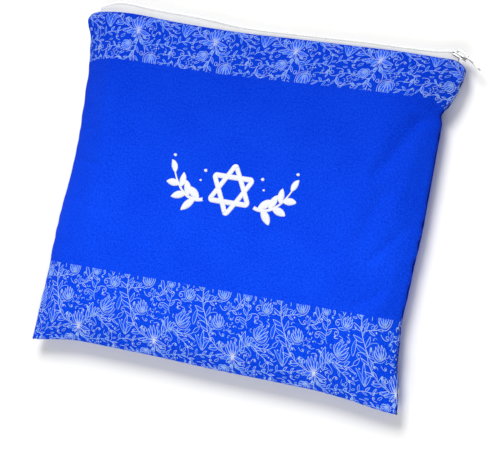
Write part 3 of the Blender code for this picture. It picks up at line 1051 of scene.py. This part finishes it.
def triangleLoop(reach, heading, corner=1.6):
    # a closed triangle with rounded corners
    points = []
    for i in range(3):
        turn = heading + 120 * i
        tip = towards(turn, reach - corner * 2)
        points += [tip + towards(turn + bend, corner) for bend in np.linspace(-60, 60, 7)]
    points.append(points[0])
    loop = []
    for start, end in zip(points, points[1:]):
        count = max(1, int(np.linalg.norm(end - start) / 0.9))
        loop += [start + (end - start) * k / count for k in range(count)]
    loop.append(loop[0])
    return np.array(loop)


def makeOrnament():
    bm = bmesh.new()
    layer = bm.verts.layers.float.new("travel")

    def embroider(path, width):
        width = np.broadcast_to(width, len(path))
        drawRibbon(bm, path, width, layer, travelAlong(path), across=6, crown=ornament["crown"])

    for heading in (90, -90):
        embroider(triangleLoop(ornament["starReach"], heading), ornament["starLine"])
    for hand in (1, -1):
        stem = bezier(np.reshape(ornament["stem"], (4, 2)) * (hand, 1), 0.8)
        share = np.linspace(0, 1, len(stem))
        embroider(stem, ornament["stemLine"] * (1 - 0.6 * share) + 0.3)
        for at, lean in ornament["leaves"]:
            i = int(at * (len(stem) - 1))
            heading = headingOf(stem[min(i + 1, len(stem) - 1)] - stem[i - 1]) + lean * hand * 46
            length = ornament["leafLength"] * (1 - 0.28 * at)
            blade = bezier((0.4, 0, length * 0.3, hand, length * 0.7, hand, length, 0), 0.8)
            t = np.linspace(0, 1, len(blade))
            plump = ornament["leafWidth"] * (1 - 0.2 * at) * np.sin(math.pi * (0.05 + 0.93 * t)) ** 0.8
            embroider(placed(blade, stem[i], heading), plump)
        for x, y, size in ornament["dots"]:
            dot = np.array([(hand * x + aside, y) for aside in (-size / 2, 0, size / 2)])
            embroider(dot, np.array([size * 0.5, size, size * 0.5]))
    piece = newPiece("ornament", bm, whiteSatinThread)
    flat = getPoints(piece.data)
    flat[:, :2] += ornament["middle"]
    flat *= mm
    flat[:, 2] += ornament["above"]
    points, u, v = frontSurface.lay(flat)
    setPoints(piece.data, points)
    setMap(piece.data, u, v)
    thicken(piece, "backing", ornament["thickness"])
    return piece


ornamentPiece = makeOrnament()
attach(ornamentPiece, "bag")
print("ornament sewn")

# the zip: two tapes, two coils with their filler cords, slider and pull tab
zipSizes = {
    "start": -165 * mm,
    "end": 171 * mm,
    "tape": 0.6 * mm,
    "tuck": 3.6 * mm,  # how far the tape runs in under the cloth
    "shortOfRidge": 2.6 * mm,  # how far below the ridge it ends, beside the coil
    "wave": 0.35 * mm,
    "columns": 330,
    "rows": 9,
    "coilStart": -163 * mm,
    "coilEnd": 165.5 * mm,
    "straightFrom": 163 * mm,  # the coil runs straight into the slider from here
    "coilReach": 1.5 * mm,
    "pitch": 1.35 * mm,
    "wire": 0.5 * mm,
    "coilRadius": 0.95 * mm,
    "coilHeight": 0.85 * mm,
    "cord": 0.78 * mm,
}


def ridgeAt(x):
    return topEdgeAt(x) + zipColumn("rise", x)


slider = {
    "middle": (171.4, 152.1),
    "turn": -22,
    "long": 13.0,
    "thick": 2.8,
    "plate": 0.85,
    "plateOutline": (  # along the slider, half its width
        (-6.5, 2.5), (-6.1, 3.1), (-1.5, 3.2), (1.6, 3.7), (3.4, 4.0), (5.0, 3.7), (6.1, 2.6),
        (6.5, 1.5), (6.0, 0.7),
    ),
    "rail": (-6.1, 0.4, 2.45, 3.1),  # from, to, inner and outer half width
    "wedge": ((0.8, 0), (3.0, 0.9), (5.2, 0.8), (5.8, 0), (5.2, -0.8), (3.0, -0.9)),
    "bridge": {"long": 10.9, "high": 3.3, "thick": 1.0, "wide": 1.6, "corner": 1.1},
    "pivot": (4.4, 2.65),  # along and up from the middle
}


def sliderUnderside(x):
    across, up = np.array(slider["middle"]) * mm
    turn = math.radians(slider["turn"])
    below = (slider["thick"] / 2 + 0.3) * mm / math.cos(turn)
    return up + (x - across) * math.tan(turn) - below


def makeTape(name, side):
    piece, u, v = gridPiece(name, whiteZipTape, zipSizes, side)
    x = zipSizes["start"] + u * (zipSizes["end"] - zipSizes["start"])
    edge, opening = topEdgeAt(x), zipColumn("opening", x)
    # the tape ends beside the coil, and passes under the slider at its end
    high = np.minimum(ridgeAt(x) - zipSizes["shortOfRidge"], sliderUnderside(x))
    wavy = np.sin(x / (9 * mm) + side) * np.sin(x / (23 * mm) + 1) * zipSizes["wave"]
    # three places across: under the cloth, at its edge, and beside the coil
    places = (
        (edge - zipSizes["tuck"], 0.8 * opening + 1.5 * mm),
        (edge + 0.2 * mm, opening - 0.25 * mm + wavy * 0.4),
        (high, 0.62 * mm + wavy * 0.3),
    )
    share = v * 2
    first, second = np.clip(share, 0, 1), np.clip(share - 1, 0, 1)
    shares = (1 - first, first - second, second)
    y, z = (sum(place[axis] * part for place, part in zip(places, shares)) for axis in (0, 1))
    z += np.sin(second * math.pi) * (0.5 * mm + wavy)
    setPoints(piece.data, np.stack([x, y, seamHeight + side * np.maximum(z, 0.45 * mm)], axis=1))
    setMap(piece.data, u, v)
    thicken(piece, "weave", zipSizes["tape"], 0)
    return piece


frontTape = makeTape("frontZipTape", 1)
backTape = makeTape("backZipTape", -1)
for piece, node in ((frontTape, "zip_tape_front"), (backTape, "zip_tape_back")):
    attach(piece, "bag")
    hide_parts(node)


def tubeAlong(name, points, radius, finish):
    curve = bpy.data.curves.new(name, "CURVE")
    curve.dimensions = "3D"
    curve.bevel_depth = radius
    curve.bevel_resolution = 1
    curve.use_fill_caps = True
    spline = curve.splines.new("POLY")
    spline.points.add(len(points) - 1)
    for point, place in zip(spline.points, points):
        point.co = (*place, 1)
    shown = bpy.data.objects.new(name, curve)
    mesh = bpy.data.meshes.new_from_object(shown)
    bpy.data.objects.remove(shown)
    bpy.data.curves.remove(curve)
    mesh.materials.clear()
    mesh.shade_smooth()
    return showMesh(name, mesh, finish)


def coilMiddle(x):
    return ridgeAt(np.minimum(x, zipSizes["straightFrom"])) - zipSizes["coilReach"]


def makeCoils():
    made = []
    start, end = zipSizes["coilStart"], zipSizes["coilEnd"]
    radius, height = zipSizes["coilRadius"], zipSizes["coilHeight"]
    turns = int((end - start) / zipSizes["pitch"])
    for side in (1, -1):
        # the coil, half a turn apart from the other one
        t = np.linspace(0, turns, turns * 10 + 1)
        x = start + (end - start) * t / turns
        turn = 2 * math.pi * t + (0 if side > 0 else math.pi)
        y = coilMiddle(x) + radius * np.cos(turn)
        z = seamHeight + side * (height + radius * np.sin(turn))
        points = np.stack([x, y, z], axis=1)
        name = "frontCoil" if side > 0 else "backCoil"
        made.append(tubeAlong(name, points, zipSizes["wire"], nylonCoil))
        # the cord inside it
        x = np.linspace(start, end, 160)
        cord = np.stack([x, coilMiddle(x), np.full_like(x, seamHeight + side * height)], axis=1)
        made.append(tubeAlong(name.replace("Coil", "CoilCord"), cord, zipSizes["cord"], nylonCoil))
    return made


coils = makeCoils()
for piece in coils:
    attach(piece, "bag")
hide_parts("zip_coil")
print("zip tapes and coils made")


pull = {
    "turn": -35,
    "long": 17.5,
    "wide": 5.6,
    "thick": 1.0,
    "eyeEnd": 4.8,
    "eyeWide": 3.2,
    "bar": 0.6,
    "panel": (6.6, 15.8, 1.25),  # from, to, half width
    "panelRim": 0.18,
    "panelDepth": 0.16,
    "outline": (  # along the pull, share of its full width
        (-0.6, 0.86), (-0.1, 1.0), (4.2, 1.0), (6.0, 0.92), (9.5, 0.72), (12.5, 0.76), (15.3, 0.90),
        (16.6, 0.82), (17.2, 0.62), (17.5, 0.34),
    ),
}


def sliderPlace():
    middle = Vector((*slider["middle"], seamHeight / mm))
    turned = Matrix.Rotation(math.radians(slider["turn"]), 4, "Z")
    return Matrix.Scale(mm, 4) @ Matrix.Translation(middle) @ turned


def joined(verts, kind):
    # the edges or faces at these points, each once
    return list(dict.fromkeys(item for vert in verts for item in getattr(vert, kind)))


def roundEdges(bm, edges, offset):
    sharp = [edge for edge in edges if edge.calc_face_angle(0) > math.radians(50)]
    bmesh.ops.bevel(bm, geom=sharp, offset=offset, segments=2, affect="EDGES", profile=0.5, material=-1)


def raisedShape(bm, corners, low, high, soften):
    # a flat outline in x and z, raised from low to high in y, with softened edges
    before = set(bm.verts)
    face = bm.faces.new([bm.verts.new((x, low, z)) for x, z in corners])
    raised = bmesh.ops.extrude_face_region(bm, geom=[face])["geom"]
    moved = [item for item in raised if isinstance(item, bmesh.types.BMVert)]
    bmesh.ops.translate(bm, verts=moved, vec=(0, high - low, 0))
    made = [vert for vert in bm.verts if vert not in before]
    bmesh.ops.recalc_face_normals(bm, faces=joined(made, "link_faces"))
    roundEdges(bm, joined(made, "link_edges"), soften)
    return [vert for vert in bm.verts if vert not in before]


def makeSlider():
    half = slider["thick"] / 2
    edge = list(slider["plateOutline"])
    corners = edge + [(x, -z) for x, z in reversed(edge)]
    bm = bmesh.new()
    raisedShape(bm, corners, half - slider["plate"], half, 0.2)
    raisedShape(bm, corners, -half, slider["plate"] - half, 0.2)
    start, end, inner, outer = slider["rail"]
    for side in (1, -1):
        rail = [(start, side * inner), (end, side * inner), (end, side * outer), (start, side * outer)]
        raisedShape(bm, rail, 0.32, half - 0.3, 0.12)
        raisedShape(bm, rail, 0.3 - half, -0.32, 0.12)
    # the wedge that parts the teeth
    raisedShape(bm, list(slider["wedge"]), 0.4 - half, half - 0.4, 0.1)

    # the bridge is a bar bent over the top plate
    bridge = slider["bridge"]
    front = slider["long"] / 2
    back, top = front - bridge["long"], half + bridge["high"]
    foot, thick, corner = half - 0.5, bridge["thick"], bridge["corner"]
    inside = corner * 0.6
    bent = [
        (back, foot), (back, top - corner), (back + corner, top), (front - corner, top),
        (front, top - corner), (front, foot), (front - thick, foot),
        (front - thick, top - thick - inside), (front - thick - inside, top - thick),
        (back + thick + inside, top - thick), (back + thick, top - thick - inside),
        (back + thick, foot),
    ]
    # drawn lying down like the plates, then stood up
    made = raisedShape(bm, bent, -bridge["wide"] / 2, bridge["wide"] / 2, 0.3)
    bmesh.ops.rotate(bm, verts=made, cent=(0, 0, 0), matrix=Matrix.Rotation(math.radians(-90), 3, "X"))
    # a shallow boss under each foot of the bridge
    for at in (back + thick / 2, front - thick / 2):
        place = Matrix.Translation((at, half + 0.08, 0)) @ Matrix.Rotation(math.radians(90), 4, "X")
        bmesh.ops.create_cone(
            bm, cap_ends=True, segments=20, radius1=1.25, radius2=1.0, depth=0.3, matrix=place
        )
    bmesh.ops.transform(bm, matrix=sliderPlace(), verts=bm.verts[:])
    bmesh.ops.recalc_face_normals(bm, faces=bm.faces[:])
    return newPiece("zipSlider", bm, nickelPlate, sharpAngle=38)


def makePull():
    bm = bmesh.new()
    bmesh.ops.create_grid(bm, x_segments=40, y_segments=12, size=0.5)
    table = np.array(pull["outline"])
    low, high = table[0, 0], table[-1, 0]
    for vert in bm.verts:
        along = low + (high - low) * (vert.co.x + 0.5)
        wide = np.interp(along, table[:, 0], table[:, 1]) * pull["wide"] / 2
        vert.co = (along, 0, vert.co.y * 2 * wide)

    def within(face, start, end, half):
        spot = face.calc_center_median()
        return start < spot.x < end and abs(spot.z) < half

    eye = [face for face in bm.faces if within(face, pull["bar"], pull["eyeEnd"], pull["eyeWide"] / 2)]
    bmesh.ops.delete(bm, geom=eye, context="FACES")
    bmesh.ops.solidify(bm, geom=bm.faces[:], thickness=pull["thick"])
    middle = sum(vert.co.y for vert in bm.verts) / len(bm.verts)
    bmesh.ops.translate(bm, verts=bm.verts[:], vec=(0, -middle, 0))
    bmesh.ops.recalc_face_normals(bm, faces=bm.faces[:])
    # a shallow panel pressed into both faces of the tongue
    pressed = [face for face in bm.faces if abs(face.normal.y) > 0.9 and within(face, *pull["panel"])]
    rim, depth = pull["panelRim"], pull["panelDepth"]
    bmesh.ops.inset_region(bm, faces=pressed, thickness=rim, depth=-depth, use_even_offset=True)
    roundEdges(bm, bm.edges[:], 0.2)
    along, up = slider["pivot"]
    pivot = Matrix.Translation((along, up, 0))
    turned = Matrix.Rotation(math.radians(pull["turn"] - slider["turn"]), 4, "Z")
    bmesh.ops.transform(bm, matrix=sliderPlace() @ pivot @ turned, verts=bm.verts[:])
    bmesh.ops.recalc_face_normals(bm, faces=bm.faces[:])
    return newPiece("pullTab", bm, nickelPlate, sharpAngle=38)


sliderPiece = makeSlider()
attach(sliderPiece, "bag")
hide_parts("zip_slider")
pullPiece = makePull()
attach(pullPiece, "pull_tab")
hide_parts("pull_tab")

# a row of blue stitches along each panel's zip edge
stitches = {"from": 14.0, "to": 346.0, "pitch": 3.1, "long": 2.3, "fromEdge": 3.4, "radius": 0.22}


def makeStitches(name, surface):
    bm = bmesh.new()
    width, height = surface.cutWidth / mm, surface.cutHeight / mm
    tip = stitches["radius"] * 0.55
    for along in np.arange(stitches["from"], stitches["to"], stitches["pitch"]):
        before = len(bm.verts)
        bmesh.ops.create_cone(
            bm, cap_ends=True, segments=6, radius1=tip, radius2=tip, depth=stitches["long"]
        )
        bm.verts.ensure_lookup_table()
        made = bm.verts[before:]
        edges = joined(made, "link_edges")
        ring = [edge for edge in edges if abs(edge.verts[0].co.z - edge.verts[1].co.z) > 0.5]
        bmesh.ops.subdivide_edges(bm, edges=ring, cuts=2, use_grid_fill=True)
        bm.verts.ensure_lookup_table()
        for vert in bm.verts[before:]:
            share = vert.co.z / stitches["long"] * 2
            swell = 1.8 if abs(share) < 0.6 else 1.0
            lift = stitches["radius"] * (1 - share * share) * 0.9
            x, z = along - width / 2 + vert.co.z, lift + vert.co.y * swell
            vert.co = (x, height / 2 - stitches["fromEdge"] + vert.co.x * swell, z)
    piece = newPiece(name, bm, blueThread)
    setPoints(piece.data, surface.lay(getPoints(piece.data) * mm)[0])
    return piece


for name, surface in (("frontStitches", frontSurface), ("backStitches", backSurface)):
    piece = makeStitches(name, surface)
    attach(piece, "bag")
print("slider, pull tab and stitches made")

# camera at the photo's angle, in the bag's frame
view = {
    "place": (0.6797, -0.0547, 1.5711),
    "right": (0.90721, 0.18040, -0.38004),
    "up": (-0.15725, 0.98332, 0.09138),
    "back": (0.39018, -0.02314, 0.92045),
    "lens": 144.0,
}
cameraData = bpy.data.cameras.new("camera")
cameraData.lens = view["lens"]
cameraData.sensor_width = 36.0
camera = bpy.data.objects.new("camera", cameraData)
bpy.context.scene.collection.objects.link(camera)
turned = Matrix((view["right"], view["up"], view["back"])).transposed().to_4x4()
camera.matrix_world = Matrix.Translation(Vector(view["place"]) + Vector((0, 0, seamHeight))) @ turned
bpy.context.scene.camera = camera

# floor and light
studio = {
    "floorSize": 4,
    "key": ("keyLight", (-0.18, 1.08, 1.45), 0.9, 28),  # name, place, size, power
    "fill": ("fillLight", (0.3, -1.7, 1.7), 2.4, 32),
    "world": 0.28,
}
bm = bmesh.new()
bmesh.ops.create_grid(bm, x_segments=2, y_segments=2, size=studio["floorSize"])
floor = newPiece("floor", bm, makeFloorMaterial(), smooth=False)


def areaLight(name, place, size, power):
    data = bpy.data.lights.new(name, "AREA")
    data.shape = "DISK"
    data.size = size
    data.energy = power
    light = bpy.data.objects.new(name, data)
    bpy.context.scene.collection.objects.link(light)
    light.location = place
    light.rotation_euler = (-Vector(place)).to_track_quat("-Z", "Y").to_euler()


areaLight(*studio["key"])
areaLight(*studio["fill"])
world = bpy.data.worlds.new("studio")
world.use_nodes = True
background = world.node_tree.nodes["Background"]
background.inputs["Color"].default_value = (1, 1, 1, 1)
background.inputs["Strength"].default_value = studio["world"]
bpy.context.scene.world = world
bpy.context.scene.view_settings.view_transform = "Standard"
